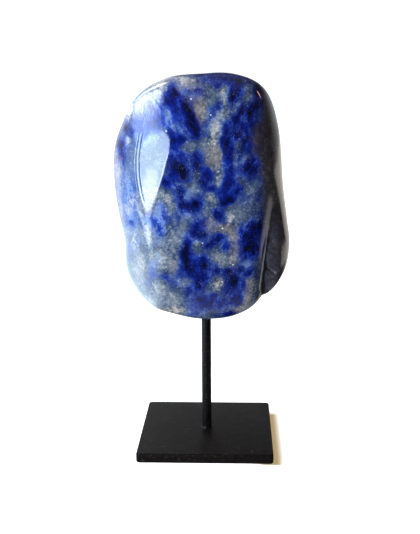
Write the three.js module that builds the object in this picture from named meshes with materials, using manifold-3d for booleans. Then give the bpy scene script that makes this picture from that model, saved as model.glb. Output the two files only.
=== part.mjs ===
// A polished sodalite free-form that stands on a black steel pin and a square plate.
//
// Units are millimetres and +Z is up. The front of the stone looks along -Y and its right is +X.
// The origin is the centre of the underside of the plate.

import * as THREE from 'three';
import { mergeVertices } from 'three/addons/utils/BufferGeometryUtils.js';
import Module from 'manifold-3d';

// ---- Driving dimensions ----------------------------------------------------------------------

const PLATE_WIDTH = 70;
const PLATE_THICKNESS = 5;
const PLATE_CORNER_RADIUS = 2;
const PLATE_EDGE_ROUNDING = 0.7;

const PIN_DIAMETER = 5.1;
const PIN_SEAT_DEPTH = 3;
const PIN_WELD_RADIUS = 3.3;
const PIN_WELD_HEIGHT = 1.4;

const HOLE_CLEARANCE = 0.3;
const STONE_HOLE_TOP = 88;

const STONE_CENTRE = new THREE.Vector3(-2, 0, 129.5);

// The stone's outline from the front, as distances from its centre. The first one points to the
// right, and the rest follow anticlockwise in equal steps.
const OUTLINE_RADII = [
  44.5, 44.5, 48.7, 57, 66.2, 67.4,
  65, 65, 63, 58, 56, 49.2,
  45.3, 44.2, 46.8, 57.6, 61, 60,
  62, 63, 61, 59, 59.4, 48.8,
];
const OUTLINE_ROUNDING = 3.5;

// The faces that tumbling and hand polishing left on the stone. Azimuth 0 faces the front, 90 the
// right and 180 the back. Rounding is how softly a face runs into its neighbours, and crown is
// the radius of its own slight bulge.
const FACETS = [
  { name: 'front', azimuth: 6, elevation: 1, distance: 25, rounding: 3, crown: 200 },
  { name: 'front top', azimuth: 0, elevation: 55, distance: 67, rounding: 5, crown: 120 },
  { name: 'front bottom', azimuth: 0, elevation: -55, distance: 66, rounding: 5, crown: 120 },
  { name: 'front left', azimuth: -15.5, elevation: 7.6, distance: 31.45, rounding: 0.4, crown: 200 },
  { name: 'front left corner', azimuth: -30, elevation: 38, distance: 54, rounding: 1.2, crown: 300 },
  { name: 'left flank high', azimuth: -50, elevation: 0, distance: 39.3, rounding: 2, crown: 200 },
  { name: 'left flank low', azimuth: -50, elevation: -5, distance: 38.6, rounding: 0.8, crown: 200 },
  { name: 'right flank', azimuth: 57, elevation: 7, distance: 39.7, rounding: 2.2, crown: 400 },
  { name: 'back', azimuth: 184, elevation: -4, distance: 27, rounding: 4, crown: 160 },
  { name: 'back left', azimuth: -132, elevation: 3, distance: 43, rounding: 4, crown: 200 },
  { name: 'back right', azimuth: 126, elevation: -4, distance: 43, rounding: 4, crown: 200 },
  { name: 'back top', azimuth: 180, elevation: 46, distance: 63, rounding: 5, crown: 120 },
  { name: 'back bottom', azimuth: 180, elevation: -52, distance: 65, rounding: 5, crown: 120 },
];

// A natural cleft runs down the front right side and parts a rounded lobe from the front face.
// Its line and its ends are measured from the stone's centre. It is soft at the top and sharper
// further down, and it opens towards the front face and the lobe by different widths.
const CLEFT = {
  depth: 8.5,
  x: 35.6,
  lean: 0.085,
  frontWidth: 7.5,
  lobeWidth: 8,
  steepness: 0.98,
  bedLow: 0.7,
  bedHigh: 4.7,
  bedStart: -35,
  bedEnd: 0,
  top: 22,
  fullDepth: -38,
  bottom: -64,
  bottomFade: 12,
};

const STONE_EDGE_DIVISIONS = 18;
const STONE_SPREAD = new THREE.Vector3(0.72, 0.42, 1);
const BISECTION_STEPS = 34;
const LONGEST_RAY = 110;
const ROUND_SEGMENTS = 48;

// ---- Joining and cutting solids --------------------------------------------------------------

const manifoldLibrary = await Module();
manifoldLibrary.setup();

function toSolid(geometry) {
  const bare = geometry.clone();
  bare.deleteAttribute('normal');
  bare.deleteAttribute('uv');
  const merged = mergeVertices(bare);
  const mesh = new manifoldLibrary.Mesh({
    numProp: 3,
    vertProperties: new Float32Array(merged.attributes.position.array),
    triVerts: new Uint32Array(merged.index.array),
  });
  return new manifoldLibrary.Manifold(mesh);
}

function toGeometry(solid) {
  const mesh = solid.getMesh();
  const geometry = new THREE.BufferGeometry();
  geometry.setAttribute('position', new THREE.BufferAttribute(mesh.vertProperties, 3));
  geometry.setIndex(new THREE.BufferAttribute(mesh.triVerts, 1));
  geometry.computeVertexNormals();
  return geometry;
}

// A round plug along Z, for cutting a hole.
function plug(radius, low, high) {
  const geometry = new THREE.CylinderGeometry(radius, radius, high - low, ROUND_SEGMENTS);
  geometry.rotateX(Math.PI / 2);
  geometry.translate(0, 0, (low + high) / 2);
  return toSolid(geometry);
}

// ---- Stone -----------------------------------------------------------------------------------

function facetNormal({ azimuth, elevation }) {
  const turn = THREE.MathUtils.degToRad(azimuth);
  const rise = THREE.MathUtils.degToRad(elevation);
  return new THREE.Vector3(
    Math.sin(turn) * Math.cos(rise),
    -Math.cos(turn) * Math.cos(rise),
    Math.sin(rise),
  );
}

const facets = FACETS.map((facet) => ({ ...facet, normal: facetNormal(facet) }));

// The outline's radius in any direction, by a smooth closed curve through the listed radii.
function outlineRadius(direction) {
  const count = OUTLINE_RADII.length;
  const turns = Math.atan2(direction.z, direction.x) / (2 * Math.PI);
  const place = (turns + 1) * count;
  const step = Math.floor(place);
  const t = place - step;
  const [a, b, c, d] = [-1, 0, 1, 2].map((shift) => OUTLINE_RADII[(step + shift + count) % count]);
  return b + 0.5 * t * (c - a + t * (2 * a - 5 * b + 4 * c - d + t * (3 * (b - c) + d - a)));
}

// How far the cleft pushes the front back at a point, measured from the stone's centre.
function cleftDepth({ x, z }) {
  const across = x - (CLEFT.x + CLEFT.lean * z);
  const width = across < 0 ? CLEFT.frontWidth : CLEFT.lobeWidth;
  const softness = THREE.MathUtils.smoothstep(z, CLEFT.bedStart, CLEFT.bedEnd);
  const bed = CLEFT.bedLow + (CLEFT.bedHigh - CLEFT.bedLow) * softness;
  const distance = Math.hypot(across, bed) - bed;
  const closeness = CLEFT.steepness * Math.max(0, 1 - distance / width);
  const fadeUp = THREE.MathUtils.smoothstep(CLEFT.top - z, 0, CLEFT.top - CLEFT.fullDepth);
  const fadeDown = THREE.MathUtils.smoothstep(z - CLEFT.bottom, 0, CLEFT.bottomFade);
  return CLEFT.depth * fadeUp * fadeDown * (1 - Math.sqrt(1 - closeness ** 2));
}

// True inside the stone. Each face adds a share that grows past one outside it, so the faces
// blend into each other as they would on a tumbled pebble. The cleft moves only what faces front.
function insideStone(point, outline) {
  const cleft = cleftDepth(point);
  let total = Math.exp((Math.hypot(point.x, point.z) - outline) / OUTLINE_ROUNDING);
  for (const facet of facets) {
    const along = facet.normal.dot(point);
    const bulge = (point.lengthSq() - along * along) / (2 * facet.crown);
    const pushed = cleft * Math.max(0, -facet.normal.y);
    total += Math.exp((along + bulge + pushed - facet.distance) / facet.rounding);
  }
  return total < 1;
}

function stoneSurface(direction) {
  const outline = outlineRadius(direction);
  const point = new THREE.Vector3();
  let low = 0;
  let high = LONGEST_RAY;
  for (let step = 0; step < BISECTION_STEPS; step += 1) {
    const middle = (low + high) / 2;
    point.copy(direction).multiplyScalar(middle);
    if (insideStone(point, outline)) {
      low = middle;
    } else {
      high = middle;
    }
  }
  return point.copy(direction).multiplyScalar(low);
}

function stoneGeometry() {
  const sphere = new THREE.IcosahedronGeometry(1, STONE_EDGE_DIVISIONS - 1);
  sphere.deleteAttribute('normal');
  sphere.deleteAttribute('uv');
  const pebble = mergeVertices(sphere);
  const position = pebble.attributes.position;
  const direction = new THREE.Vector3();
  for (let index = 0; index < position.count; index += 1) {
    direction.fromBufferAttribute(position, index).multiply(STONE_SPREAD).normalize();
    const point = stoneSurface(direction).add(STONE_CENTRE);
    position.setXYZ(index, point.x, point.y, point.z);
  }
  const hole = plug(PIN_DIAMETER / 2 + HOLE_CLEARANCE, PLATE_THICKNESS, STONE_HOLE_TOP);
  return toGeometry(toSolid(pebble).subtract(hole));
}

// ---- Stand -----------------------------------------------------------------------------------

// A steel pin whose foot sits in the plate under a small weld bead.
function pinGeometry() {
  const radius = PIN_DIAMETER / 2;
  const foot = PLATE_THICKNESS - PIN_SEAT_DEPTH + HOLE_CLEARANCE;
  const top = STONE_HOLE_TOP - HOLE_CLEARANCE;
  const chamfer = 0.4;
  const profile = [
    new THREE.Vector2(0, foot),
    new THREE.Vector2(radius, foot),
    new THREE.Vector2(radius, PLATE_THICKNESS),
  ];
  const beadSteps = 5;
  for (let step = 0; step <= beadSteps; step += 1) {
    const turn = (Math.PI / 2) * (step / beadSteps);
    const out = radius + (PIN_WELD_RADIUS - radius) * (1 - Math.sin(turn));
    const up = PLATE_THICKNESS + PIN_WELD_HEIGHT * (1 - Math.cos(turn));
    profile.push(new THREE.Vector2(out, up));
  }
  profile.push(new THREE.Vector2(radius, top - chamfer));
  profile.push(new THREE.Vector2(radius - chamfer, top));
  profile.push(new THREE.Vector2(0, top));
  const geometry = new THREE.LatheGeometry(profile, ROUND_SEGMENTS);
  geometry.rotateX(Math.PI / 2);
  return geometry;
}

// A square plate cut from flat bar, with rounded corners and broken edges.
function plateGeometry() {
  const half = PLATE_WIDTH / 2 - PLATE_EDGE_ROUNDING;
  const corner = PLATE_CORNER_RADIUS - PLATE_EDGE_ROUNDING;
  const shape = new THREE.Shape();
  shape.absarc(half - corner, half - corner, corner, 0, Math.PI / 2);
  shape.absarc(corner - half, half - corner, corner, Math.PI / 2, Math.PI);
  shape.absarc(corner - half, corner - half, corner, Math.PI, 1.5 * Math.PI);
  shape.absarc(half - corner, corner - half, corner, 1.5 * Math.PI, 2 * Math.PI);
  const slab = new THREE.ExtrudeGeometry(shape, {
    depth: PLATE_THICKNESS - 2 * PLATE_EDGE_ROUNDING,
    bevelThickness: PLATE_EDGE_ROUNDING,
    bevelSize: PLATE_EDGE_ROUNDING,
    bevelSegments: 3,
    curveSegments: 6,
  });
  slab.translate(0, 0, PLATE_EDGE_ROUNDING);
  const seat = plug(
    PIN_DIAMETER / 2 + HOLE_CLEARANCE,
    PLATE_THICKNESS - PIN_SEAT_DEPTH,
    2 * PLATE_THICKNESS,
  );
  return toGeometry(toSolid(slab).subtract(seat));
}

// ---- Assembly --------------------------------------------------------------------------------

function part(name, geometry, color, roughness, metalness) {
  const material = new THREE.MeshStandardMaterial({ color, roughness, metalness });
  const mesh = new THREE.Mesh(geometry, material);
  mesh.name = name;
  return mesh;
}

const object = new THREE.Group();
object.add(part('stone', stoneGeometry(), 0x2c3f8f, 0.08, 0));
object.add(part('pin', pinGeometry(), 0x1a1c1f, 0.45, 0.3));
object.add(part('base_plate', plateGeometry(), 0x2b2929, 0.5, 0.3));

export default object;
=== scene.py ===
"""Looks for a polished sodalite free-form on a black steel pin and a square plate.

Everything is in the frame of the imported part: +Z up, the broad front of the stone looks along -Y.
Shapes are worked out in millimetres and turned into metres when their mesh is made.
"""

import itertools
import math

import bpy
import numpy as np
from mathutils import Matrix, Vector


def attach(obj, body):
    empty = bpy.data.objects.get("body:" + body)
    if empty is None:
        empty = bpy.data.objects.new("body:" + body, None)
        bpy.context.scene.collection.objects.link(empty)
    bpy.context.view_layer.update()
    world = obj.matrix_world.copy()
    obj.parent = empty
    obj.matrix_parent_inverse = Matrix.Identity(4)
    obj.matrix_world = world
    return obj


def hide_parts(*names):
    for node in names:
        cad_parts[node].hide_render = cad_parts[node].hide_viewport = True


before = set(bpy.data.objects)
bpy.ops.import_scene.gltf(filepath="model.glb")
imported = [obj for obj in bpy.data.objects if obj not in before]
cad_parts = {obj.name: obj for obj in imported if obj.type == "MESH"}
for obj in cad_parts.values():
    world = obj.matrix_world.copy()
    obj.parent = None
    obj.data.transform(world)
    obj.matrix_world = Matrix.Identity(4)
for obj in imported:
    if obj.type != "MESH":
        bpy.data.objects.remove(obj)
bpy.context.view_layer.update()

MM = 0.001

# ---- Sizes in millimetres ----------------------------------------------------------------------

PLATE_WIDTH = 70
PLATE_THICKNESS = 5
PLATE_CORNER_RADIUS = 2
PLATE_EDGE_ROUNDING = 0.7

PIN_DIAMETER = 5.1
PIN_SEAT_DEPTH = 3
PIN_FOOT_CHAMFER = 0.4
PIN_WELD_RADIUS = 3.3
PIN_WELD_HEIGHT = 1.4
PIN_WELD_SCALES = 9

# The two steps that round the pin's top, each with its inset and its drop.
PIN_TOP_STEPS = ((0.12, 0.2), (0.45, 0))

HOLE_CLEARANCE = 0.3
STONE_HOLE_TOP = 88
STONE_HOLE_POINT = 1

# The stone's drill starts in the free air below it, and the plate's drill ends above it.
STONE_DRILL_START = 20
PLATE_DRILL_END = 9

STONE_CENTRE = (-2, 0, 129.5)

# The stone's outline from the front, as distances from its centre. The first one points to the
# right, and the rest follow anticlockwise in equal steps.
OUTLINE_RADII = (
    44.5, 44.5, 48.7, 57, 66.2, 67.4,
    65, 65, 63, 58, 56, 49.2,
    45.3, 44.2, 46.8, 57.6, 61, 60,
    62, 63, 61, 59, 59.4, 48.8,
)
OUTLINE_ROUNDING = 3.5

# The worked faces: azimuth (0 front, 90 right, 180 back), elevation, distance from the centre,
# rounding towards the neighbours, and the radius of the face's own crown.
STONE_FACES = {
    "front": (6, 1, 25, 3, 200),
    "front top": (0, 55, 67, 5, 120),
    "front bottom": (0, -55, 66, 5, 120),
    "front left": (-15.5, 7.6, 31.45, 0.4, 200),
    "front left corner": (-30, 38, 54, 1.2, 300),
    "left flank high": (-50, 0, 39.3, 2, 200),
    "left flank low": (-50, -5, 38.6, 0.8, 200),
    "right flank": (57, 7, 39.7, 2.2, 400),
    "back": (184, -4, 27, 4, 160),
    "back left": (-132, 3, 43, 4, 200),
    "back right": (126, -4, 43, 4, 200),
    "back top": (180, 46, 63, 5, 120),
    "back bottom": (180, -52, 65, 5, 120),
}

# The natural cleft on the front right, measured from the stone's centre.
CLEFT_DEPTH = 8.5
CLEFT_X = 35.6
CLEFT_LEAN = 0.085
CLEFT_FRONT_WIDTH = 7.5
CLEFT_LOBE_WIDTH = 8
CLEFT_STEEPNESS = 0.98
CLEFT_BED = (0.7, 4.7)
CLEFT_BED_SPAN = (-35, 0)
CLEFT_TOP = 22
CLEFT_FULL_DEPTH = -38
CLEFT_BOTTOM = -64
CLEFT_BOTTOM_FADE = 12

# Small dimples that polishing didn't take out: x, z, radius and depth on the front of the stone.
DIMPLES = (
    (-28.5, 101, 1.6, 0.28),
    (-29, 93.5, 1.8, 0.3),
    (-31.5, 108, 1.3, 0.2),
    (9, 119.2, 0.9, 0.2),
    (-25.5, 88, 1.5, 0.2),
    (-3.5, 175.5, 0.8, 0.16),
    (8.5, 91.5, 1, 0.2),
    (17, 101, 1.1, 0.18),
    (-36, 151, 1.2, 0.18),
)

# Pits of less than a millimetre that catch the light: x, z and depth on the front of the stone.
PITS = (
    (9, 119.2, 0.3),
    (-6.2, 181, 0.22),
    (3.3, 173.5, 0.24),
    (-0.7, 112, 0.24),
    (14.2, 100.5, 0.28),
    (8.7, 91.6, 0.3),
    (-18.2, 165.9, 0.12),
    (-8, 161, 0.1),
    (-22, 103, 0.12),
)
PIT_RADIUS = 0.7
# Where the white glint painted at each pit's middle is full and where it has faded.
PIT_GLINT_RADIUS = (0.5, 0.1)

POLISH_WAVINESS = 0.1

# How finely the stone's surface is worked out.
STONE_EDGE_DIVISIONS = 92
STONE_SPREAD = (0.72, 0.42, 1)
BISECTION_STEPS = 34
LONGEST_RAY = 110
LARGEST_EXPONENT = 50


# ---- Meshes ------------------------------------------------------------------------------------


def smoothstep(value, low, high):
    t = np.clip((value - low) / (high - low), 0, 1)
    return t * t * (3 - 2 * t)


def new_mesh(name, points, faces):
    """A mesh object from points in millimetres."""
    mesh = bpy.data.meshes.new(name)
    mesh.from_pydata((np.asarray(points, float) * MM).tolist(), [], faces)
    mesh.validate()
    mesh.polygons.foreach_set("use_smooth", [True] * len(mesh.polygons))
    piece = bpy.data.objects.new(name, mesh)
    bpy.context.scene.collection.objects.link(piece)
    return piece


def apply_modifiers(piece):
    graph = bpy.context.evaluated_depsgraph_get()
    shaped = bpy.data.meshes.new_from_object(piece.evaluated_get(graph))
    shaped.materials.clear()
    piece.modifiers.clear()
    piece.data = shaped


def keep_edges_sharp(piece, degrees):
    """Edges that turn by more than the given angle stay crisp, and the rest are shaded smooth."""
    piece.data.set_sharp_from_angle(angle=math.radians(degrees))


def cut(piece, tool):
    """Takes the tool's solid out of the piece and removes the tool."""
    modifier = piece.modifiers.new("cut", "BOOLEAN")
    modifier.operation = "DIFFERENCE"
    modifier.solver = "MANIFOLD"
    modifier.object = tool
    apply_modifiers(piece)
    bpy.data.objects.remove(tool)


def lathe(name, profile, segments=96, shape=None):
    """A closed solid turned about Z from (radius, height) points that start and end on the axis."""
    points = [(0, 0, profile[0][1])]
    for radius, height in profile[1:-1]:
        for step in range(segments):
            turn = 2 * math.pi * step / segments
            reach = radius if shape is None else shape(radius, height, turn)
            points.append((reach * math.cos(turn), reach * math.sin(turn), height))
    points.append((0, 0, profile[-1][1]))
    rings = len(profile) - 2
    faces = []
    for step in range(segments):
        after = (step + 1) % segments
        faces.append((0, 1 + after, 1 + step))
        for ring in range(rings - 1):
            low = 1 + ring * segments
            high = low + segments
            faces.append((low + step, low + after, high + after, high + step))
        last = 1 + (rings - 1) * segments
        faces.append((last + step, last + after, len(points) - 1))
    return new_mesh(name, points, faces)


# ---- The stone's shape -------------------------------------------------------------------------


def face_normal(azimuth, elevation):
    """The direction with the given azimuth and elevation in degrees."""
    turn = math.radians(azimuth)
    rise = math.radians(elevation)
    return (math.sin(turn) * math.cos(rise), -math.cos(turn) * math.cos(rise), math.sin(rise))


def outline_radius(directions):
    """The outline's radius, by a smooth closed curve through the listed radii."""
    radii = np.array(OUTLINE_RADII, float)
    count = len(radii)
    place = (np.arctan2(directions[:, 2], directions[:, 0]) / (2 * np.pi) + 1) * count
    step = np.floor(place).astype(int)
    t = place - step
    a, b, c, d = (radii[(step + shift) % count] for shift in (-1, 0, 1, 2))
    return b + 0.5 * t * (c - a + t * (2 * a - 5 * b + 4 * c - d + t * (3 * (b - c) + d - a)))


def cleft_depth(points):
    """How deep the cleft is at points that are measured from the stone's centre."""
    x, z = points[:, 0], points[:, 2]
    across = x - (CLEFT_X + CLEFT_LEAN * z)
    width = np.where(across < 0, CLEFT_FRONT_WIDTH, CLEFT_LOBE_WIDTH)
    bed = CLEFT_BED[0] + (CLEFT_BED[1] - CLEFT_BED[0]) * smoothstep(z, *CLEFT_BED_SPAN)
    distance = np.hypot(across, bed) - bed
    closeness = CLEFT_STEEPNESS * np.maximum(0, 1 - distance / width)
    fade_up = smoothstep(CLEFT_TOP - z, 0, CLEFT_TOP - CLEFT_FULL_DEPTH)
    fade_down = smoothstep(z - CLEFT_BOTTOM, 0, CLEFT_BOTTOM_FADE)
    return CLEFT_DEPTH * fade_up * fade_down * (1 - np.sqrt(1 - closeness**2))


def stone_surface(directions):
    """The stone's surface along each direction from its centre. Every face adds a share that
    grows past one outside it, so the faces blend as on a tumbled pebble."""
    rows = np.array(list(STONE_FACES.values()), float)
    normals = np.array([face_normal(*row[:2]) for row in rows])
    distance, rounding, crown = rows[:, 2], rows[:, 3], rows[:, 4]
    facing = np.maximum(0, -normals[:, 1])
    outline = outline_radius(directions)
    sideways = np.hypot(directions[:, 0], directions[:, 2])
    along = directions @ normals.T
    low = np.zeros(len(directions))
    high = np.full(len(directions), float(LONGEST_RAY))
    for _ in range(BISECTION_STEPS):
        middle = (low + high) / 2
        reach = middle[:, None]
        pushed = cleft_depth(directions * reach)[:, None] * facing
        bulge = reach**2 * (1 - along**2) / (2 * crown)
        above = (along * reach + bulge + pushed - distance) / rounding
        shares = np.exp(np.minimum(above, LARGEST_EXPONENT)).sum(1)
        beyond = (sideways * middle - outline) / OUTLINE_ROUNDING
        inside = shares + np.exp(np.minimum(beyond, LARGEST_EXPONENT)) < 1
        low = np.where(inside, middle, low)
        high = np.where(inside, high, middle)
    return directions * low[:, None]


def icosahedron_faces():
    """The twenty faces of an icosahedron, each as its three corners, seen anticlockwise."""
    golden = (1 + math.sqrt(5)) / 2
    edge = 2
    corners = []
    for a in (-1, 1):
        for b in (-golden, golden):
            corners += [(0, a, b), (a, b, 0), (b, 0, a)]
    faces = []
    for trio in itertools.combinations(corners, 3):
        trio = np.array(trio, float)
        sides = np.linalg.norm(trio - np.roll(trio, 1, axis=0), axis=1)
        if np.allclose(sides, edge):
            faces.append(trio if np.linalg.det(trio) > 0 else trio[::-1])
    return faces


def divide_triangle(trio, divisions):
    """Evenly spread points on a flat triangle, and the small triangles between them."""
    index = {}
    points = []
    for u in range(divisions + 1):
        for v in range(divisions + 1 - u):
            index[u, v] = len(points)
            w = divisions - u - v
            points.append((trio[0] * w + trio[1] * u + trio[2] * v) / divisions)
    triangles = []
    for u in range(divisions):
        for v in range(divisions - u):
            triangles.append((index[u, v], index[u + 1, v], index[u, v + 1]))
            if u + v < divisions - 1:
                triangles.append((index[u + 1, v], index[u + 1, v + 1], index[u, v + 1]))
    return points, triangles


def geodesic_sphere(divisions):
    """Points and triangles of a sphere made from an icosahedron with divided edges."""
    points = []
    triangles = []
    for trio in icosahedron_faces():
        new_points, new_triangles = divide_triangle(trio, divisions)
        triangles.append(np.array(new_triangles) + len(points))
        points += new_points
    points = np.array(points)
    points /= np.linalg.norm(points, axis=1)[:, None]
    rounded = np.round(points, 6)
    _, first, joined = np.unique(rounded, axis=0, return_index=True, return_inverse=True)
    return points[first], joined.reshape(-1)[np.concatenate(triangles)]


def polish_marks(points):
    """How far hand polishing and small dimples lie below the surface, in millimetres."""
    x, y, z = points.T

    # Two crossing waves, 3 to 6 centimetres long, that bend each other.
    waves = np.sin(x / 5.1 + 0.6 * np.sin(z / 9.3))
    waves *= np.sin(z / 6.7 + 0.8 * np.sin(x / 8.1) + y / 9)
    depth = POLISH_WAVINESS * (0.5 + 0.5 * waves)
    front = smoothstep(-y, 5, 12)
    for place_x, place_z, radius, drop in DIMPLES:
        distance = np.hypot(x - place_x, z - place_z) / radius
        depth += drop * front * np.clip(1 - distance**2, 0, 1) ** 2
    return depth


def make_stone():
    directions, triangles = geodesic_sphere(STONE_EDGE_DIVISIONS)
    directions = directions * np.array(STONE_SPREAD, float)
    directions /= np.linalg.norm(directions, axis=1)[:, None]
    surface = stone_surface(directions) + np.array(STONE_CENTRE, float)
    surface = surface - directions * polish_marks(surface)[:, None]
    stone = new_mesh("polished_stone", surface, triangles.tolist())
    radius = PIN_DIAMETER / 2 + HOLE_CLEARANCE
    drill_profile = [
        (0, STONE_DRILL_START),
        (radius, STONE_DRILL_START),
        (radius, STONE_HOLE_TOP - STONE_HOLE_POINT),
        (0, STONE_HOLE_TOP),
    ]
    cut(stone, lathe("drill", drill_profile))
    keep_edges_sharp(stone, 40)
    return stone


# ---- The stand's shape -------------------------------------------------------------------------


def weld_ripple(radius, height, turn):
    """The bead is laid by hand, so its reach changes in small overlapping scales."""
    core = PIN_DIAMETER / 2
    if radius <= core or height > PLATE_THICKNESS + PIN_WELD_HEIGHT:
        return radius
    scale = abs(math.sin(PIN_WELD_SCALES / 2 * turn + 2 * (height - PLATE_THICKNESS)))
    drift = 0.5 + 0.5 * math.sin(turn + 0.7)
    return core + (radius - core) * (0.72 + 0.16 * scale + 0.12 * drift)


def make_pin():
    core = PIN_DIAMETER / 2
    foot = PLATE_THICKNESS - PIN_SEAT_DEPTH + HOLE_CLEARANCE
    top = STONE_HOLE_TOP - HOLE_CLEARANCE
    profile = [
        (0, foot),
        (core - PIN_FOOT_CHAMFER, foot),
        (core, foot + PIN_FOOT_CHAMFER),
        (core, PLATE_THICKNESS),
    ]
    steps = 12
    for step in range(steps + 1):
        turn = math.pi / 2 * step / steps
        out = core + (PIN_WELD_RADIUS - core) * (1 - math.sin(turn)) ** 0.8
        profile.append((out, PLATE_THICKNESS + PIN_WELD_HEIGHT * (1 - math.cos(turn))))
    shaft = np.linspace(PLATE_THICKNESS + PIN_WELD_HEIGHT + 0.3, top - 0.5, 40)
    profile += [(core, height) for height in shaft]
    profile += [(core - inset, top - drop) for inset, drop in PIN_TOP_STEPS]
    profile.append((0, top))
    pin = lathe("steel_pin", profile, 128, weld_ripple)
    keep_edges_sharp(pin, 50)
    return pin


def plate_ring(inset, height, steps=10):
    """One closed loop round the plate, the given distance inside its widest outline."""
    corner = PLATE_CORNER_RADIUS - inset
    reach = PLATE_WIDTH / 2 - PLATE_CORNER_RADIUS
    ring = []
    for quarter, (sx, sy) in enumerate(((1, 1), (-1, 1), (-1, -1), (1, -1))):
        for step in range(steps + 1):
            turn = math.pi / 2 * (quarter + step / steps)
            across = sx * reach + corner * math.cos(turn)
            along = sy * reach + corner * math.sin(turn)
            ring.append((across, along, height))
    return ring


def plate_rings(steps=8):
    """The loops of the plate's rounded lower edge and then of its upper one, from below."""
    turns = [math.pi / 2 * step / steps for step in range(steps + 1)]
    rings = []
    for turn in turns:
        inset = PLATE_EDGE_ROUNDING * (1 - math.sin(turn))
        rings.append(plate_ring(inset, PLATE_EDGE_ROUNDING * (1 - math.cos(turn))))
    for turn in turns:
        inset = PLATE_EDGE_ROUNDING * (1 - math.cos(turn))
        drop = PLATE_EDGE_ROUNDING * (1 - math.sin(turn))
        rings.append(plate_ring(inset, PLATE_THICKNESS - drop))
    return rings


def make_plate():
    rings = plate_rings()
    count = len(rings[0])
    points = [point for ring in rings for point in ring]
    faces = [tuple(reversed(range(count)))]
    for low in range(0, (len(rings) - 1) * count, count):
        for step in range(count):
            after = (step + 1) % count
            faces.append((low + step, low + after, low + count + after, low + count + step))
    last = (len(rings) - 1) * count
    faces.append(tuple(range(last, last + count)))
    plate = new_mesh("steel_plate", points, faces)
    seat = PLATE_THICKNESS - PIN_SEAT_DEPTH
    radius = PIN_DIAMETER / 2 + HOLE_CLEARANCE
    drill_profile = [(0, seat), (radius, seat), (radius, PLATE_DRILL_END), (0, PLATE_DRILL_END)]
    cut(plate, lathe("seat_drill", drill_profile, 64))
    keep_edges_sharp(plate, 30)
    return plate


# ---- Finishes ----------------------------------------------------------------------------------


def paint(red, green, blue):
    """A shader colour from ordinary 0 to 255 screen values."""

    def linear(value):
        share = value / 255
        return share / 12.92 if share <= 0.04045 else ((share + 0.055) / 1.055) ** 2.4

    return (linear(red), linear(green), linear(blue), 1)


class Value:
    """A shader socket that works in Python expressions. Each operator adds a Math node."""

    def __init__(self, finish, socket):
        self.finish = finish
        self.socket = socket

    def math(self, operation, *others):
        """Any Math operation on this value, and on others where it takes more."""
        values = dict(enumerate((self, *others)))
        return self.finish.node("ShaderNodeMath", {"operation": operation}, values)

    def __add__(self, other):
        return self.math("ADD", other)

    def __sub__(self, other):
        return self.math("SUBTRACT", other)

    def __rsub__(self, other):
        return self.finish.node("ShaderNodeMath", {"operation": "SUBTRACT"}, {0: other, 1: self})

    def __mul__(self, other):
        return self.math("MULTIPLY", other)

    def __abs__(self):
        return self.math("ABSOLUTE")

    def __or__(self, other):
        """The larger of two masks."""
        return self.math("MAXIMUM", other)

    __radd__ = __add__
    __rmul__ = __mul__
    __ror__ = __or__


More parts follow.
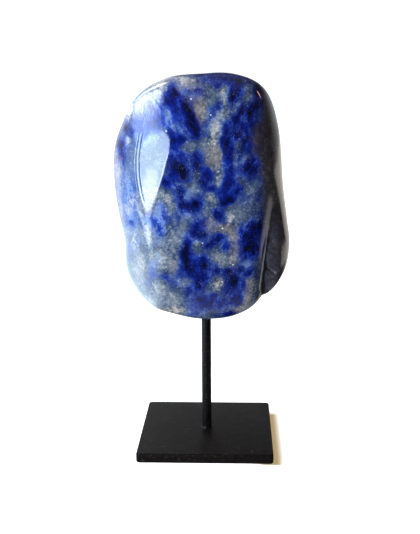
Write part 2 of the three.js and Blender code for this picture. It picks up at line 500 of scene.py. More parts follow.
class Finish:
    """One procedural material, or the world, and the nodes that it is made of."""

    # The sockets that a Mix node uses for colours.
    MIX_FACTOR, MIX_FIRST, MIX_SECOND, MIX_RESULT = 0, 6, 7, 2

    def __init__(self, owner):
        owner.use_nodes = True
        self.owner = owner
        self.tree = owner.node_tree
        self.tree.nodes.clear()

    def node(self, kind, settings=None, sockets=None, output=0):
        """Adds any node: its settings first, then the values or links of its sockets."""
        made = self.tree.nodes.new(kind)
        for name, value in (settings or {}).items():
            if name == "stops":
                self.set_stops(made.color_ramp, value)
            else:
                setattr(made, name, value)
        for key, value in (sockets or {}).items():
            if isinstance(value, Value):
                self.tree.links.new(value.socket, made.inputs[key])
            else:
                made.inputs[key].default_value = value
        if not made.outputs:
            return made
        return Value(self, made.outputs[output])

    @staticmethod
    def set_stops(ramp, stops):
        """Gives a new ramp its colours, as (place from 0 to 1, colour) pairs."""
        while len(ramp.elements) < len(stops):
            ramp.elements.new(1)
        for element, (place, colour) in zip(ramp.elements, stops):
            element.position = place
            element.color = colour

    def ramp(self, value, stops):
        return self.node("ShaderNodeValToRGB", {"stops": stops}, {"Fac": value})

    def millimetres(self):
        """The place on the piece, in millimetres of the shared frame."""
        place = self.node("ShaderNodeTexCoord", output="Object")
        return self.scaled(place, 1 / MM)

    def scaled(self, vector, factor):
        sockets = {0: vector, "Scale": factor}
        return self.node("ShaderNodeVectorMath", {"operation": "SCALE"}, sockets)

    def shifted(self, vector, other):
        return self.node("ShaderNodeVectorMath", {"operation": "ADD"}, {0: vector, 1: other})

    def distance(self, place, centre):
        sockets = {0: place, 1: centre}
        return self.node("ShaderNodeVectorMath", {"operation": "DISTANCE"}, sockets, "Value")

    def noise(self, place, size, detail=2, roughness=0.5, output="Fac"):
        """Soft noise whose features are about size millimetres across."""
        sockets = {"Vector": place, "Scale": 1 / size, "Detail": detail, "Roughness": roughness}
        return self.node("ShaderNodeTexNoise", None, sockets, output)

    def warped(self, place, size, reach):
        """The place, shifted about by up to reach millimetres in waves of the given size."""
        drift = self.noise(place, size, 2, 0.55, "Color")
        centred = self.shifted(drift, (-0.5, -0.5, -0.5))
        return self.shifted(place, self.scaled(centred, 2 * reach))

    def crystals(self, place, size):
        """One even random number from 0 to 1 for each cell of about size millimetres."""
        sockets = {"Vector": place, "Scale": 1 / size}
        colour = self.node("ShaderNodeTexVoronoi", None, sockets, "Color")
        return self.axes(colour)[0]

    def axes(self, vector):
        split = self.node("ShaderNodeSeparateXYZ", None, {0: vector})
        return [Value(self, socket) for socket in split.socket.node.outputs]

    def step(self, value, low, high):
        """A soft step from 0 at low to 1 at high."""
        sockets = {"Value": value, "From Min": low, "From Max": high}
        return self.node("ShaderNodeMapRange", {"interpolation_type": "SMOOTHSTEP"}, sockets)

    def mix(self, factor, first, second):
        """The first colour where the factor is 0, and the second where it is 1."""
        sockets = {self.MIX_FACTOR: factor, self.MIX_FIRST: first, self.MIX_SECOND: second}
        return self.node("ShaderNodeMix", {"data_type": "RGBA"}, sockets, self.MIX_RESULT)

    def bump(self, height, reach):
        """A surface normal from a height that is 0 to 1 and stands for reach millimetres."""
        return self.node("ShaderNodeBump", None, {"Height": height, "Distance": reach * MM})

    def surface(self, varying, constant):
        """Ends the material in a Principled shader."""
        shader = self.node("ShaderNodeBsdfPrincipled", None, {**constant, **varying})
        self.node("ShaderNodeOutputMaterial", None, {"Surface": shader})
        return self.owner


# ---- Camera ------------------------------------------------------------------------------------

# In millimetres and degrees.
CAMERA_PLACE = (15.93, -428.8, 194.8)
CAMERA_AZIMUTH = 1.847
CAMERA_ELEVATION = 13.18
CAMERA_ROLL = -0.248
FOCAL_LENGTH = 56.9

# The sensor's longer side takes in the height of the picture.
SENSOR_LENGTH = 36

# The picture in pixels, and how many millimetres of the stone's front one pixel shows.
PICTURE_WIDTH = 420
PICTURE_HEIGHT = 534
PIXEL_WIDTH = 0.475
PIXEL_HEIGHT = 0.4825


def aim_camera():
    """Sets up the scene's camera, and gives its place and turn as a matrix in metres."""
    back = Vector(face_normal(CAMERA_AZIMUTH, CAMERA_ELEVATION))
    azimuth = math.radians(CAMERA_AZIMUTH)
    right = Vector((math.cos(azimuth), math.sin(azimuth), 0))
    up = back.cross(right)
    turn = Matrix((right, up, back)).transposed().to_4x4()
    roll = Matrix.Rotation(math.radians(CAMERA_ROLL), 4, "Z")
    data = bpy.data.cameras.new("camera")
    data.sensor_width = SENSOR_LENGTH
    data.lens = FOCAL_LENGTH
    data.clip_start = 0.01
    camera = bpy.data.objects.new("camera", data)
    camera.matrix_world = Matrix.Translation(Vector(CAMERA_PLACE) * MM) @ turn @ roll
    bpy.context.scene.collection.objects.link(camera)
    bpy.context.scene.camera = camera
    return camera.matrix_world.copy()


def picture_places(points, camera_matrix):
    """Where points land in the camera's picture, in pixels from its top left corner."""
    to_camera = np.array(camera_matrix.inverted())
    local = (points * MM) @ to_camera[:3, :3].T + to_camera[:3, 3]
    focal = FOCAL_LENGTH / SENSOR_LENGTH * PICTURE_HEIGHT
    across = PICTURE_WIDTH / 2 - focal * local[:, 0] / local[:, 2]
    down = PICTURE_HEIGHT / 2 + focal * local[:, 1] / local[:, 2]
    return np.column_stack([across, down])


# ---- The stone's minerals ----------------------------------------------------------------------

# The minerals of the front as egg-shaped bodies in the camera's picture: the pixel at the middle of
# each, its width and height in pixels, and its lean, with the top to the right where that is
# positive. Their places on the stone are worked out through the camera.
BLUE_BODIES = (
    (174, 96, 17, 24, -10), (183, 108, 17, 34, -28), (191, 124, 17, 34, -16), (171, 141, 13, 24, 0),
    (181, 139, 14, 18, 0), (173, 86, 10, 8, 0), (145, 120, 8, 18, 0), (136, 113, 4, 9, 10),
    (158, 119, 20, 26, 0), (169, 79, 13, 4, 0), (187, 91, 11, 7, 0), (196, 91, 12, 8, 10),
    (204, 95.5, 11, 6, 15), (210, 78, 13, 9, 0), (228, 79, 20, 9, 0), (240, 79, 14, 8, 10),
    (219, 85, 10, 9, 0), (198, 82, 5, 7, 0), (232.5, 96, 12, 19, 12), (240, 92, 10, 13, 0),
    (231, 86, 9, 8, 0), (255, 106, 16, 22, 25), (258, 92, 14, 14, 30), (243.5, 114, 12, 12, 0),
    (250, 118, 14, 14, 20), (238, 123, 12, 16, 20), (247, 126, 14, 18, 20), (255, 124, 10, 20, 15),
    (236, 136, 12, 16, 15), (226, 127, 11, 14, 0), (224, 141, 12, 16, 10), (231, 149, 12, 16, 0),
    (243, 141, 5, 9, 20), (250, 140, 12, 20, 10), (228, 162, 14, 24, 4), (240, 158, 6, 12, 0),
    (233, 172, 13, 16, 0), (227, 184, 19, 20, 0), (220, 193, 14, 9, 0), (237, 191, 10, 10, 0),
    (247, 170, 13, 16, 0), (255, 164, 10, 18, -15), (261, 135, 8, 26, 0), (219, 107, 9, 8, 0),
    (211, 113, 5, 13, 0), (205.5, 124.5, 7, 5, -20), (207.5, 135.5, 7, 6, 0),
    (198, 155.5, 10.5, 12.5, 38), (196, 157, 9, 9, 0), (181, 156, 13, 13, 0), (172, 147, 10, 10, 0),
    (172, 157, 9, 9, 0), (179, 171, 22, 20, 0), (195, 165, 9, 14, 10), (199, 160, 7, 7, 0),
    (207.5, 174, 15, 15, 0), (203, 182, 12, 9, 0), (211, 189, 11, 8, 0), (190, 180, 8, 10, 0),
    (182, 191, 11, 9, 0), (167, 184, 13, 13, 0), (173, 192, 10, 7, 0), (180, 197, 12, 9, 0),
    (193, 206, 26, 13, -12), (181, 205, 9, 12, 0), (203, 201, 9, 7, 35), (186, 212, 10, 7, 0),
    (162, 212, 9, 17, -10), (155, 221, 14, 14, 0), (160, 227, 11, 16, -15), (206, 222, 10, 8, 0),
    (199, 227, 15, 15, 20), (204, 235, 7, 8, 0), (195, 234, 13, 16, 25), (189, 242, 14, 17, 25),
    (184, 252, 16, 17, 10), (187, 260, 14, 16, 0), (185, 268, 12, 12, 0), (199, 264, 24, 22, 0),
    (193, 274, 18, 14, 0), (203, 277, 16, 18, 0), (210, 268, 10, 10, 0), (213, 241, 5, 10, 12),
    (220.5, 237, 13, 8, 10), (225.5, 245, 8, 10, 0), (206.5, 244, 5, 4, 0), (218, 214, 13, 16, -10),
    (228, 196, 21, 15, 0), (225, 204, 8, 9, 0), (247, 241, 20, 28, 0), (253, 229, 16, 18, 0),
    (241, 232, 9, 9, 0), (216, 271, 9, 6, 0), (228, 272, 12, 12, 0), (241, 271, 13, 7, 0),
    (248, 273, 11, 12, 0), (234, 283, 17, 24, 0), (243, 285, 10, 16, 0), (227, 292, 7, 12, 15),
    (216, 296, 6, 9, 20), (239, 298, 18, 20, 10), (229, 314, 16, 7, 0), (221, 304, 10, 10, 0),
    (204, 303, 24, 17, -15), (192, 309, 14, 9, 0), (189, 293, 7, 7, 0), (196, 288, 14, 11, 0),
    (173, 282, 6, 5, 0), (164, 278, 9, 6, 0), (179, 275, 7, 8, 0), (151.5, 273, 5, 9, 0),
    (125.5, 128, 6, 6, 0), (131, 132, 8, 10, 0), (121, 145, 14, 20, 0), (121, 158, 9, 14, 0),
    (130, 192, 8, 13, 0), (131, 222, 10, 9, 0), (125, 225, 5, 5, 0), (134, 250, 8, 19, 33),
    (146.5, 282, 8, 21, 22), (283, 232, 5, 16, 0), (150, 110, 18, 18, 0), (140, 128, 8, 10, 0),
    (253, 250, 13, 22, 0), (242, 253, 12, 14, 0), (176, 112, 14, 22, 0), (166.5, 98, 14, 14.5, 0),
    (177, 102.5, 14, 20, 0), (260, 240, 11.5, 27, 0),
)

INK_BODIES = (
    (196, 118, 9, 22, -18), (184, 92, 5, 3, 0), (203.5, 95.5, 7, 3, 15), (172, 94, 9, 12, -10),
    (239, 79, 10, 6, 10), (219, 86, 6, 5, 0), (233, 97, 6, 12, 12), (258, 90, 12, 12, 30),
    (243.5, 113.5, 8, 9, 0), (255, 106, 9, 14, 25), (176, 167, 16, 12, -20),
    (183, 173, 14, 10.5, -25), (179, 176, 6, 5, 0), (195, 166, 14, 18, 15), (247, 170, 9, 14, 5),
    (235, 134, 7, 10, 15), (243, 141, 4, 7, 20), (229, 152, 7, 9, 0), (203, 182, 6, 4, 0),
    (182, 192, 5, 5, 0), (181, 205, 6, 7, 0), (193, 203, 5, 3, 0), (206.5, 222.5, 8, 7, 0),
    (204, 235, 6, 6, 0), (187, 260, 7.5, 8.5, -10), (203, 265.5, 12, 5, -15), (203, 284.5, 8, 8, 0),
    (213, 241, 4, 7, 12), (218, 213, 6, 6, 0), (250, 240, 15, 19, 0), (247, 273, 8, 8, 0),
    (216, 271, 4, 3, 0), (227, 292, 5, 11, 15), (216, 296, 4, 7, 20), (229, 314.5, 14, 5, 0),
    (234, 285, 7, 14, 0), (226, 201, 5, 5, 0), (189, 293, 4, 4, 0), (184, 250, 8, 8, 0),
    (125.5, 128, 4, 4, 0), (118, 142, 4, 4, 0), (273, 137, 6, 30, -5), (266, 160, 8, 16, 35),
    (257, 170, 10, 8, 60), (274, 250, 6, 30, 0), (262, 222, 8, 24, 10), (258, 196, 6, 12, 20),
    (184.5, 104.5, 8.5, 14.5, -20),
)

PALE_BODIES = (
    (215, 127, 13, 17, 0), (213, 136, 7, 11, 0), (222.5, 92, 8, 11, 0), (224.5, 101, 7, 12, 5),
    (221, 115, 9, 10, 0), (215, 142, 8, 10, 0), (214, 158, 14, 20, 0), (220, 177, 6, 9, -10),
    (219, 184, 4, 7, 0), (217, 168, 7, 8, 0), (205, 145, 8.5, 16.5, 20), (191, 147, 19, 11.5, 0),
    (160, 193, 16, 12, 0), (168, 196, 12, 10, 0), (210, 200, 13, 15, 0), (207, 212, 8, 12, 0),
    (210, 226, 11, 18, 0), (230, 218, 6, 8, 0), (228, 211, 8, 8, 0), (171, 204, 10, 18, -10),
    (176.5, 243, 17, 26, 0), (184.5, 224, 8.5, 16.5, 20), (172, 262, 12, 30, 0),
    (196.5, 245, 9, 8, 30), (225, 228, 12, 5, 10), (232.5, 236, 7, 12, -20), (234.5, 248, 6, 24, 0),
    (226, 263, 16, 10, 0), (218, 286, 8, 13, 0), (248.5, 285, 8, 12, 0), (244, 308, 14, 7, -15),
    (172, 300, 18, 20, 0), (180, 310, 22, 10, 0), (185, 281, 13, 8, 0), (160, 290, 16, 24, 0),
    (139, 267, 22, 58, -5), (150, 300, 14, 20, -20), (118, 176, 10, 24, 0), (127, 141, 7, 8, 0),
    (131, 109, 8, 14, 20), (145, 235, 12, 20, 0), (187, 84, 23, 12.5, 0), (161, 85, 14.5, 12.5, 0),
    (210, 98, 16, 16, 0), (249, 98, 9.5, 12.5, 0), (193, 186, 15, 12, 0), (196, 174, 10, 9, 0),
    (238, 147, 5, 12, 20), (235.5, 160, 4, 16, -5), (245, 158, 5, 5, 0), (117, 185, 12, 60, 0),
    (124, 215, 14, 30, 0), (129, 111, 12, 18, 20), (216, 258, 12, 8, 0), (132, 198, 12, 10, 0),
    (246.5, 298, 8.5, 16.5, 15), (179.5, 88.5, 5.5, 12.5, -25), (201, 110, 10.5, 25, -18),
)

TAN_BODIES = (
    (187, 84, 23, 12.5, 0), (161, 85, 14.5, 12.5, 0), (197.5, 108, 17, 35, -18),
    (214, 156, 14, 24, 0), (225, 228, 14, 6, 10), (232.5, 236, 8, 12, -20), (234.5, 248, 7, 20, 0),
    (234.5, 260, 7, 12, 0), (218, 283, 7, 7, 0), (248.5, 283, 9, 11, 0), (244, 308, 14, 7, -15),
    (170, 310, 20, 6, 0), (174, 264, 6, 14, 0), (210, 226, 9, 12, 0), (267, 100, 6, 20, -10),
    (272, 165, 14, 70, 0), (280, 245, 12, 40, 0), (239, 255, 6, 7, 0),
    (179.5, 88.5, 5.5, 12.5, -25), (246.5, 298, 8.5, 16.5, 15),
)

BRIGHT_AND_HIGHLIGHT_BODIES = (
    (215, 127, 12, 16, 0), (213, 136, 6, 10, 0), (222.5, 91, 7, 9, 0), (224, 103, 5, 8, 5),
    (221, 115, 6, 7, 0), (214, 143, 5, 7, 0), (220, 177, 5, 9, -10), (219, 184, 4, 7, 0),
    (218, 287, 6, 9, 0), (161, 85, 9.5, 8.5, 0), (127, 141, 6, 6, 0), (131, 109, 7, 14, 20),
    (177, 310, 14, 7, 0), (196.5, 244, 6, 5, 30), (149.5, 226, 6, 40, -4), (163, 240, 10, 16, 0),
    (140, 208, 10, 22, 0), (211, 197, 5, 5, 0), (230, 219, 4, 4, 0), (169, 198, 6, 6, -10),
    (128, 186, 6, 16, 0), (134, 240, 8, 16, 0), (184, 80, 14, 8, 0), (158, 221, 18, 36, -8),
    (130, 210, 12, 14, 0), (169, 118, 12, 20, 0), (159, 256, 15, 29, 0),
    # The first two bodies in this row are painted highlight streaks at the top left corner.
    (157, 105.5, 7.5, 14.5, -40), (148, 112.5, 6.5, 10.5, -30), (151.5, 251.5, 5.5, 35, 0),
)

# Each mineral's drawn bodies, how many more it has in the hidden part of the stone, and the smallest
# and largest of those in millimetres. They come from one seeded sequence, in this order.
MINERALS = {
    "blue": (BLUE_BODIES, 150, 7, 21),
    "ink": (INK_BODIES, 70, 3, 9),
    "pale": (PALE_BODIES, 80, 4, 13),
    "tan": (TAN_BODIES, 45, 4, 14),
    "bright": (BRIGHT_AND_HIGHLIGHT_BODIES, 30, 3, 8),
}
HIDDEN_SEED = 11

# Their middles lie between these two corners, their width is at least this share of their height,
# and they lean by up to this many degrees.
HIDDEN_LOW = (-48, 5, 67)
HIDDEN_HIGH = (44, 30, 195)
HIDDEN_SLIMMEST = 0.55
HIDDEN_LEAN = 45

# How far the bodies reach into the stone, as a length and a share of their width and height.
BODY_DEPTH = 7
BODY_DEPTH_SHARE = 0.8

# How crisply bodies join, and how many millimetres outside a body its share stops falling.
BODY_UNION = 1.3
FAR_OUTSIDE = -8


def front_bodies(rows, points, camera_matrix):
    """The drawn bodies in millimetres, each where its pixel shows the given front of the stone."""
    seen = picture_places(points, camera_matrix)
    bodies = []
    for across, down, width, height, lean in rows:
        place = points[np.hypot(seen[:, 0] - across, seen[:, 1] - down).argmin()]
        bodies.append((*place, width * PIXEL_WIDTH, height * PIXEL_HEIGHT, lean))
    return bodies


def hidden_bodies(count, smallest, largest, generator):
    """Bodies behind the drawn ones, in one even scatter, with more small ones than large ones."""
    centres = generator.uniform(HIDDEN_LOW, HIDDEN_HIGH, (count, 3))
    lengths = smallest + (largest - smallest) * generator.uniform(0, 1, count) ** 1.6
    slim = generator.uniform(HIDDEN_SLIMMEST, 1, count)
    lean = generator.uniform(-HIDDEN_LEAN, HIDDEN_LEAN, count)
    return np.column_stack([centres, lengths * slim, lengths, lean])


def mineral_field(points, bodies):
    """About how many millimetres each point lies inside a mineral's bodies, below 0 outside."""
    total = np.zeros(len(points))
    for x, y, z, width, height, lean in bodies:
        depth = BODY_DEPTH + BODY_DEPTH_SHARE * (width + height)
        turn = math.radians(lean)
        away = points - (x, y, z)
        across = away[:, 0] * math.cos(turn) - away[:, 2] * math.sin(turn)
        along = away[:, 0] * math.sin(turn) + away[:, 2] * math.cos(turn)
        radius = np.sqrt(
            (2 * across / width) ** 2 + (2 * away[:, 1] / depth) ** 2 + (2 * along / height) ** 2
        )
        inside = (1 - radius) * min(width, height) / 2
        total += np.exp(BODY_UNION * np.maximum(inside, FAR_OUTSIDE))
    return np.log(total + 1e-9) / BODY_UNION


def vertex_values(mesh, name):
    """The places or normals of a mesh's vertices, one row for each."""
    values = np.empty(len(mesh.vertices) * 3)
    mesh.vertices.foreach_get(name, values)
    return values.reshape(-1, 3)


def store_field(mesh, name, values):
    mesh.attributes.new(name, "FLOAT", "POINT").data.foreach_set("value", values)


def store_minerals(stone, camera_matrix):
    """Keeps each mineral's field on the mesh, where the stone's finish reads it."""
    mesh = stone.data
    points = vertex_values(mesh, "co") / MM
    facing = (vertex_values(mesh, "normal") * (np.array(CAMERA_PLACE) - points)).sum(1) > 0
    front = points[facing & (points[:, 1] < 0)]
    generator = np.random.default_rng(HIDDEN_SEED)
    for mineral, (rows, count, smallest, largest) in MINERALS.items():
        drawn = front_bodies(rows, front, camera_matrix)
        hidden = hidden_bodies(count, smallest, largest, generator)
        store_field(mesh, mineral, mineral_field(points, np.vstack([drawn, hidden])))
    cleft = cleft_depth(points - np.array(STONE_CENTRE, float)) * (points[:, 1] < 0)
    store_field(mesh, "cleft", cleft)


# ---- The stone's finish ------------------------------------------------------------------------

# Where soft steps on the stone begin and end, in millimetres: across it, from front to back and up.
FRONT_Y = (0, -6)
LEFT_FLANK_X = (-27, -37)
LEFT_FLANK_Z = (108, 126)
LOW_FLANK_Z = (160, 125)
RIGHT_FLANK_X = (25, 32)
RIGHT_FLANK_Y = (10, -4)
LOBE_X = (29, 32)
LOBE_Z = (138, 128)
CORNER_X = (-15, -26)
CORNER_Z = (160, 170)
RAGGED_CORNER_Z = (168, 178)

# The right flank's painted shade reaches over the front by this much in one place, and falls back in
# another.
# Each has its height, and how far from there it is full and has faded.
FLANK_REACH = 5
FLANK_TONGUE = (161, 4, 11)
FLANK_BAY = (112, 9, 17)

# The lip at the foot of the cleft, painted pale as a highlight, as a leaning line that hooks to the
# right at its foot.
LIP_X = 27.8
LIP_Z = 86.5
LIP_LEAN = 0.12
LIP_HOOK_Z = (87, 81)
LIP_HOOK = 1.2
LIP_HALF_WIDTH = 0.6
LIP_FOOT_Z = (83, 87)
LIP_TOP_Z = (122, 102)

# The ridges beside the front left face follow its curved edge, 1.7 millimetres apart.
RIDGE_X = -33.2
RIDGE_Z = 150
RIDGE_BEND = 0.0085
RIDGE_PACE = 3.7
RIDGE_HALF_BAND = (1.9, 1.3)
RIDGE_HALF_HEIGHT = (19, 12)
RIDGE_Y = (-8, -12)

# The sharp crest over the front left face, and the fold that leans across it higher up.
CREST_X = -29.2
CREST_HALF_WIDTH = 0.4
CREST_FOOT_Z = (163, 168)
CREST_TOP_Z = (181, 176)
FOLD_X = -22.5
FOLD_Z = 178
FOLD_LEAN = 51.2
FOLD_HALF_WIDTH = 1.4
FOLD_HALF_LENGTH = (5, 2.5)

# Colours from dark to light for the ground and from rim to heart for the blue, each with its place
# from 0 to 1.
GREY_GROUND = (
    (0.0, paint(28, 38, 74)),
    (0.25, paint(56, 69, 97)),
    (0.5, paint(98, 107, 121)),
    (0.75, paint(158, 154, 150)),
    (1.0, paint(220, 212, 200)),
)
TAN_GROUND = (
    (0.0, paint(56, 50, 54)),
    (0.5, paint(116, 108, 106)),
    (1.0, paint(204, 192, 180)),
)
SODALITE_BLUE = (
    (0.0, paint(112, 136, 190)),
    (0.2, paint(44, 69, 152)),
    (0.4, paint(16, 39, 124)),
    (0.6, paint(5, 21, 98)),
    (0.8, paint(4, 13, 66)),
    (1.0, paint(4, 7, 34)),
)
# The colours of the shade painted on the right flank and the lobe.
SHADED_FLANK_BROWN = (
    (0.0, paint(24, 21, 26)),
    (0.5, paint(50, 45, 48)),
    (1.0, paint(110, 100, 96)),
)
# The light blue painted on the low left flank as the window's mirrored haze.
LOW_FLANK_PAINTED_HAZE = paint(96, 136, 222)
PALE_CRYSTAL = paint(176, 184, 206)
DARK_CRYSTAL = paint(12, 18, 44)
CLEFT_PAINTED_SHADE = paint(13, 11, 12)
LIP_PAINTED_HIGHLIGHT = paint(214, 212, 214)
CREST_PAINTED_HIGHLIGHT = paint(214, 226, 250)
PIT_PAINTED_GLINT = paint(244, 240, 236)


def stone_grain(f, place):
    """Three noises about 0 that tear the minerals: leaning streaks, smoke and fine mottle."""
    bent = f.warped(place, 9, 1.5)

    def combed(lean):
        """Ragged noise that is drawn out along a leaning line."""
        sockets = {"Vector": bent, "Rotation": (0, math.radians(lean), 0), "Scale": (0.8, 1, 1.7)}
        turned = f.node("ShaderNodeMapping", {"vector_type": "TEXTURE"}, sockets)
        return f.noise(turned, 4.5, 7, 0.66) - 0.5

    to_right = f.step(f.axes(place)[0], -8, 8)
    streaks = combed(-22) * (1 - to_right) + combed(22) * to_right
    smoke = f.noise(f.shifted(bent, (17, 60, 3)), 6, 5, 0.6) - 0.5
    mottle = f.noise(f.shifted(place, (40, 0, 9)), 1.5, 4, 0.65) - 0.5
    return streaks, smoke, mottle


def mineral_colour(f, place, grain):
    """The minerals in their ground, and how much of each place is blue, from 0 to 1."""
    x, _, z = f.axes(place)
    streaks, smoke, mottle = grain

    def inside(name, reach, fray=6):
        """Millimetres inside a mineral, with its edge torn and frayed by the given reaches."""
        field = f.node("ShaderNodeAttribute", {"attribute_name": name}, output="Fac")
        return field + streaks * reach + mottle * fray

    # Pale veins cut into the blue, whose edge is crisp in some places and hazy in others.
    clearness = f.noise(f.shifted(place, (0, 30, 80)), 11)
    crisp = 0.45 + f.step(clearness, 0.4, 0.6) * 1.3
    pale = f.step(inside("pale", 8), -2, 2.4)
    depth = inside("blue", 9) - pale * 3 + 0.2
    blue = f.step(depth * crisp, -2.6, 1.8)
    ink = f.step(inside("ink", 14, 2) + smoke * 8, -2.2, 2.6)
    tan = f.step(inside("tan", 8), -2.4, 2)
    # The bright bodies are pale feldspar, with two painted highlight streaks at the top left corner
    # among them.
    bright = f.step(inside("bright", 7), -2, 2)

    # The left flank is painted paler and light blue as the window's light and its mirrored haze, most
    # of all low down, where the blue is painted paler too.
    left_flank = f.step(x, *LEFT_FLANK_X) * f.step(z, *LEFT_FLANK_Z)
    low_flank = left_flank * (0.14 + f.step(z, *LOW_FLANK_Z) * 0.22)
    grey = f.ramp(
        0.42
        - f.step(depth, -7, 0) * 0.26
        + pale * 0.13
        + bright * 0.3
        + left_flank * 0.18
        - ink * 0.3
        + smoke * 0.8
        + mottle * 0.8,
        GREY_GROUND,
    )
    warm = f.ramp(0.4 + pale * 0.1 + bright * 0.34 + smoke * 0.8 + mottle * 0.7, TAN_GROUND)
    ground = f.mix(low_flank, f.mix(tan * 0.75, grey, warm), LOW_FLANK_PAINTED_HAZE)
    sodalite = f.ramp(
        0.14
        + f.step(depth, -2.5, 3.5) * 0.54
        + ink * 0.3
        - bright * 0.4
        + left_flank * 0.24
        - low_flank * 1.5
        - smoke * 1.1
        + streaks * 0.9
        + mottle * 0.32,
        SODALITE_BLUE,
    )
    return f.mix(blue, ground, sodalite), blue


def painted_right_shade(f, place, smoke):
    """Where the stone is painted darker and brown grey as shade: its right flank and the lobe beside
    the cleft.
    """
    x, y, z = f.axes(place)

    def near(height, full, faded):
        return f.step(abs(z - height), faded, full) * FLANK_REACH

    edge = x + smoke * 10 + near(*FLANK_TONGUE) - near(*FLANK_BAY)
    lobe = f.step(x, *LOBE_X) * f.step(z, *LOBE_Z)
    return (f.step(edge, *RIGHT_FLANK_X) | lobe) * f.step(y, *RIGHT_FLANK_Y)


def cleft_lip(f, place):
    x, _, z = f.axes(place)
    line = x - LIP_X - (z - LIP_Z) * LIP_LEAN - f.step(z, *LIP_HOOK_Z) * LIP_HOOK
    return f.step(abs(line), LIP_HALF_WIDTH, 0) * f.step(z, *LIP_FOOT_Z) * f.step(z, *LIP_TOP_Z)


def side_ridges(f, place):
    """Fine polishing ridges beside the front left face, from -1 to 1."""
    x, y, z = f.axes(place)
    up = z - RIDGE_Z
    beside = x - RIDGE_X - up * up * RIDGE_BEND
    band = f.step(abs(beside - 1), *RIDGE_HALF_BAND) * f.step(abs(up + 1), *RIDGE_HALF_HEIGHT)
    return (beside * RIDGE_PACE).math("SINE") * band * f.step(y, *RIDGE_Y)


def left_crest(f, place):
    x, _, z = f.axes(place)
    line = f.step(abs(x - CREST_X), CREST_HALF_WIDTH, 0)
    return line * f.step(z, *CREST_FOOT_Z) * f.step(z, *CREST_TOP_Z)


def corner_fold(f, place, smoke):
    x, _, z = f.axes(place)
    lean = math.radians(FOLD_LEAN)
    across = (x - FOLD_X) * math.sin(lean) + (z - FOLD_Z) * math.cos(lean)
    along = (x - FOLD_X) * math.cos(lean) - (z - FOLD_Z) * math.sin(lean)
    line = f.step(abs(across + smoke * 3), FOLD_HALF_WIDTH, 0)
    return line * f.step(abs(along), *FOLD_HALF_LENGTH)


def add_pits(f, place, front, heights, colour):
    """Presses the pits into the heights, each with a painted white glint at its middle."""
    x, _, z = f.axes(place)
    flat = f.node("ShaderNodeCombineXYZ", None, {"X": x, "Z": z})
    for pit_x, pit_z, drop in PITS:
        away = f.distance(flat, (pit_x, 0, pit_z))
        heights = heights - f.step(away, PIT_RADIUS, 0) * front * drop
        glint = f.step(away, *PIT_GLINT_RADIUS) * front * (drop * 3)
        colour = f.mix(glint, colour, PIT_PAINTED_GLINT)
    return heights, colour


def stone_finish():
    """Sodalite: blue masses with ink-dark hearts in a ground of grey, pale and tan feldspar."""
    f = Finish(bpy.data.materials.new("polished_sodalite"))
    place = f.millimetres()
    x, y, z = f.axes(place)
    front = f.step(y, *FRONT_Y)
    grain = stone_grain(f, place)
    streaks, smoke, mottle = grain

    colour, blue = mineral_colour(f, place, grain)
    # The right flank and the lobe beside the cleft are painted darker and brown grey, as shade away
    # from the window.
    right_shade = painted_right_shade(f, place, smoke)
    colour = f.mix(right_shade * 0.93, colour, f.ramp(0.4 + smoke + mottle * 0.9, SHADED_FLANK_BROWN))

    # Small crystals stand out light or dark, the pale ones mostly in the ground.
    crystal = f.crystals(place, 0.42)
    sparkle = f.step(crystal, 0.84, 1) * f.step(smoke + mottle, -0.15, 0.2) * (1 - right_shade * 0.8)
    colour = f.mix(sparkle * (0.5 - blue * 0.4), colour, PALE_CRYSTAL)
    colour = f.mix(f.step(crystal, 0.35, 0) * (0.35 - blue * 0.2), colour, DARK_CRYSTAL)

    # The natural skin that's left in the cleft is dull, its deepest part is painted dark as shade, and
    # its lip is painted pale as a highlight.
    hollow = f.step(f.node("ShaderNodeAttribute", {"attribute_name": "cleft"}, output="Fac"), 3.8, 5.6)
    lip = cleft_lip(f, place) * front
    colour = f.mix(hollow * 0.85, colour, CLEFT_PAINTED_SHADE)
    colour = f.mix(lip * 0.7, colour, LIP_PAINTED_HIGHLIGHT)

    # The top left corner is worn, with a crest painted pale as a highlight, and a fold.
    corner = f.step(z, *CORNER_Z) * f.step(x, *CORNER_X) * front
    worn = corner * f.step(streaks + smoke, -0.16, 0.1)
    crest = left_crest(f, place) * front
    fold = corner_fold(f, place, smoke) * front
    colour = f.mix(crest * 0.56, colour, CREST_PAINTED_HIGHLIGHT)

    # Heights are in millimetres.
    waves = f.noise(f.shifted(place, (9, 9, 50)), 4, 1) - 0.5
    heights = (
        waves * 0.02
        + mottle * 0.007
        + side_ridges(f, place) * 0.035
        + streaks * f.step(z, *RAGGED_CORNER_Z) * corner * 0.16
        + crest * 0.07
        + fold * 0.06
        + lip * 0.12
    )
    heights, colour = add_pits(f, place, front, heights, colour)
    shine = 0.05 + (1 - blue) * 0.03 + hollow * 0.5 + corner * 0.06 + worn * 0.16 + right_shade * 0.08
    varying = {"Base Color": colour, "Roughness": shine, "Normal": f.bump(heights, 1)}
    return f.surface(varying, {"IOR": 1.49})


# ---- The stand's finish ------------------------------------------------------------------------


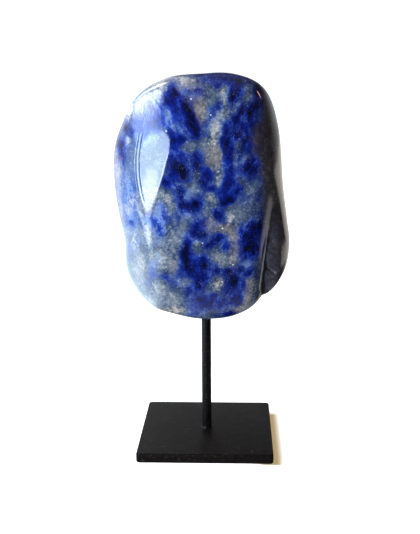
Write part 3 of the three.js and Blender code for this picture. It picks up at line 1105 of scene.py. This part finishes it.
def steel_finish(name, body_colour, edge_wear, coat_index):
    """Satin black powder coat with a fine grain, and a little wear where hands and edges meet."""
    f = Finish(bpy.data.materials.new(name))
    place = f.millimetres()
    grain = f.noise(place, 0.8, 4, 0.7)
    cloud = f.noise(place, 9, 3, 0.5)
    dust = f.step(f.crystals(place, 0.6), 0.96, 1)
    colour = f.mix(f.step(cloud, 0.3, 0.7) * 0.4, body_colour, paint(20, 13, 11))
    colour = f.mix(f.step(grain, 0.46, 0.72) * 0.6, colour, paint(40, 35, 34))
    colour = f.mix(dust * 0.15, colour, paint(130, 118, 108))
    pointed = f.node("ShaderNodeNewGeometry", output="Pointiness")
    worn = f.step(pointed + (grain - 0.5) * 0.08, 0.53, 0.6) * edge_wear
    colour = f.mix(worn, colour, paint(90, 88, 90))
    shine = 0.38 + (grain - 0.5) * 0.4 + (cloud - 0.5) * 0.12 - worn * 0.1
    varying = {"Base Color": colour, "Roughness": shine, "Normal": f.bump(grain, 0.16)}
    return f.surface(varying, {"IOR": coat_index})


# ---- The three pieces --------------------------------------------------------------------------

camera_matrix = aim_camera()

stone = make_stone()
store_minerals(stone, camera_matrix)
stone.data.materials.append(stone_finish())
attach(stone, "root")
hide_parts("stone")

pin = make_pin()
pin.data.materials.append(steel_finish("black_pin_coat", paint(5, 4, 5), 0.02, 1.18))
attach(pin, "root")
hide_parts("pin")

plate = make_plate()
plate.data.materials.append(steel_finish("black_plate_coat", paint(16, 12, 12), 0.25, 1.1))
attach(plate, "root")
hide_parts("base_plate")


# ---- Floor and light ---------------------------------------------------------------------------

# What the lights point at.
LIGHT_TARGET = Vector((-10, 0, 130)) * MM

# In millimetres. The sun patch and the gleam are sunlit parts of the floor.
FLOOR_REACH = 20000
SUN_PATCH = (-60, 120, 0)
GLEAM = (-93, -244, 0)


def soft_light(
    name, azimuth, elevation, distance, size, power, tint, mirrored=True, diffuse=True
):
    """An oval light that points at the stone: degrees, metres and watts."""
    data = bpy.data.lights.new(name, "AREA")
    data.shape = "ELLIPSE"
    data.size, data.size_y = size
    data.energy = power
    data.color = tint
    light = bpy.data.objects.new(name, data)
    bpy.context.scene.collection.objects.link(light)
    away = Vector(face_normal(azimuth, elevation))
    light.location = LIGHT_TARGET + away * distance
    light.rotation_euler = away.to_track_quat("Z", "Y").to_euler()
    light.visible_camera = False
    light.visible_glossy = mirrored
    light.visible_diffuse = diffuse


def plate_shadow(f, x, y):
    """The plate's soft shadow lies along its right side, away from the window."""
    half = PLATE_WIDTH / 2
    across = f.step(x, half - 12, half - 4) * f.step(x, half + 8, half + 1.5)
    return across * f.step(y, -half - 1.5, -half) * f.step(y, half - 1, half - 8)


def floor_glow(f, place, mirrored):
    """The light that the stone gets from the floor, most of it for its mirror images alone: a
    bright band at the right, more behind the stone, and sunlit parts at the left and front left."""
    x, y, _ = f.axes(place)
    distance = f.distance(place, (0, 0, 0))
    right_side = f.step(x, 250, 350) * f.step(y, -60, 60) * f.step(distance, 1000, 700) * mirrored
    behind = f.step(y - abs(x) * 0.5, 20, 160) * mirrored
    sunlit = f.step(x, -35, -110) * f.step(distance, 60, 130)
    sunlit = sunlit * f.step(f.distance(place, SUN_PATCH), 400, 300) * (mirrored * 0.75 + 0.25)
    beam = f.step(y * 0.52 - x * 0.86, -10, 40) * f.step(y, -50, -150)
    beam = beam * f.step(distance, 240, 340) * f.step(distance, 1100, 800)
    gleam = f.step(f.distance(place, GLEAM), 40, 24)
    glow = f.mix(right_side * 0.9 | behind, (0, 0, 0, 1), (1.6, 1.5, 1.4, 1))
    glow = f.mix(sunlit, glow, (2.4, 3, 3.4, 1))
    return f.mix((beam | gleam) * mirrored, glow, (4, 6, 9, 1))


def floor_finish():
    """A plain floor that looks white, with a soft shadow beside the plate."""
    f = Finish(bpy.data.materials.new("pale_floor"))
    place = f.millimetres()
    x, y, _ = f.axes(place)
    seen = f.node("ShaderNodeLightPath", output="Is Camera Ray")
    mirrored = f.node("ShaderNodeLightPath", output="Is Glossy Ray")
    shadow = plate_shadow(f, x, y)
    white = f.mix(f.noise(place, 3, 3) * 0.1, paint(244, 243, 241), paint(238, 236, 233))
    dark = mirrored * f.step(f.distance(place, (0, 0, 0)), 60, 160) | shadow
    white = f.mix(dark, white, paint(36, 34, 30))
    glow = f.mix(shadow, (1.1, 1.1, 1.1, 1), (0.44, 0.33, 0.17, 1))
    glow = f.mix(seen, floor_glow(f, place, mirrored), glow)
    constant = {"Roughness": 0.8, "Specular IOR Level": 0.1, "Emission Strength": 1}
    return f.surface({"Base Color": white, "Emission Color": glow}, constant)


def make_floor():
    corners = [(-1, -1, 0), (1, -1, 0), (1, 1, 0), (-1, 1, 0)]
    floor = new_mesh("floor", np.array(corners) * FLOOR_REACH, [(0, 1, 2, 3)])
    floor.data.materials.append(floor_finish())


def light_world():
    """White behind and a dim warm room in front, so the polish has something to mirror."""
    world = bpy.data.worlds.new("studio")
    bpy.context.scene.world = world
    f = Finish(world)
    x, y, z = f.axes(f.node("ShaderNodeTexCoord", output="Generated"))
    low = f.step(z, 0.4, 0.12)
    backdrop = f.step(y, 0.4, 0.85) * low * (1.3 - f.step(x, 0.1, 0.4) * 0.5)
    upper_left = f.step(x, -0.12, -0.24) * f.step(y, -0.3, 0.3) * f.step(z, 0.1, 0.3) * 2
    left_wall = f.step(x, -0.4, -0.9) * low * 0.4
    ceiling = f.step(z, 0.5, 0.95) * 0.35
    room = backdrop + left_wall + upper_left + ceiling
    seen = f.node("ShaderNodeLightPath", output="Is Camera Ray")
    colour = f.mix(f.step(room, 0, 0.5), (1, 0.86, 0.74, 1), (0.93, 0.97, 1, 1))
    colour = f.mix(seen, colour, (1, 1, 1, 1))
    strength = (room + 0.05) * (1 - seen) + seen * 1.2
    glow = f.node("ShaderNodeBackground", None, {"Color": colour, "Strength": strength})
    f.node("ShaderNodeOutputWorld", None, {"Surface": glow})


DAYLIGHT = (0.62, 0.82, 1)
SKY_BLUE = (0.78, 0.9, 1)
HAZE_BLUE = (0.3, 0.46, 1)
WHITE = (1, 1, 1)
LAMPLIGHT = (1, 0.82, 0.66)
EMBER = (1, 0.5, 0.38)

# How strong the window's lower panes are, for each square metre.
PANE_POWER = 17

make_floor()
light_world()

# The window and its panes, then the panes that the top left corner, its haze and the left side
# mirror, and two lamps at the right.
soft_light("window", -43, 12, 1.2, (0.6, 0.64), 16.5, DAYLIGHT)
for name, width, height in (("low", 0.26, 0.2), ("lower", 0.34, 0.34), ("lowest", 0.42, 0.5)):
    power = PANE_POWER * width * height
    soft_light(name + "_pane", -42, 2.5, 1.19, (width, height), power, WHITE)
soft_light("edge_pane", -30.5, 9, 1.19, (0.04, 0.5), 0.7, WHITE)
soft_light("corner_pane", -70, 38, 1.2, (0.5, 0.34), 20, SKY_BLUE, diffuse=False)
soft_light("haze_pane", -55, 27, 1.21, (0.4, 0.26), 4.2, HAZE_BLUE, diffuse=False)
soft_light("side_pane", -106, 46, 1.2, (0.6, 0.6), 16, (0.8, 0.9, 1), diffuse=False)
soft_light("small_lamp", 110, 28, 1.2, (0.05, 0.2), 0.5, EMBER, diffuse=False)
soft_light("room_lamp", 20, 50, 1.2, (0.8, 0.8), 1, LAMPLIGHT, mirrored=False)

bpy.context.scene.view_settings.view_transform = "Standard"
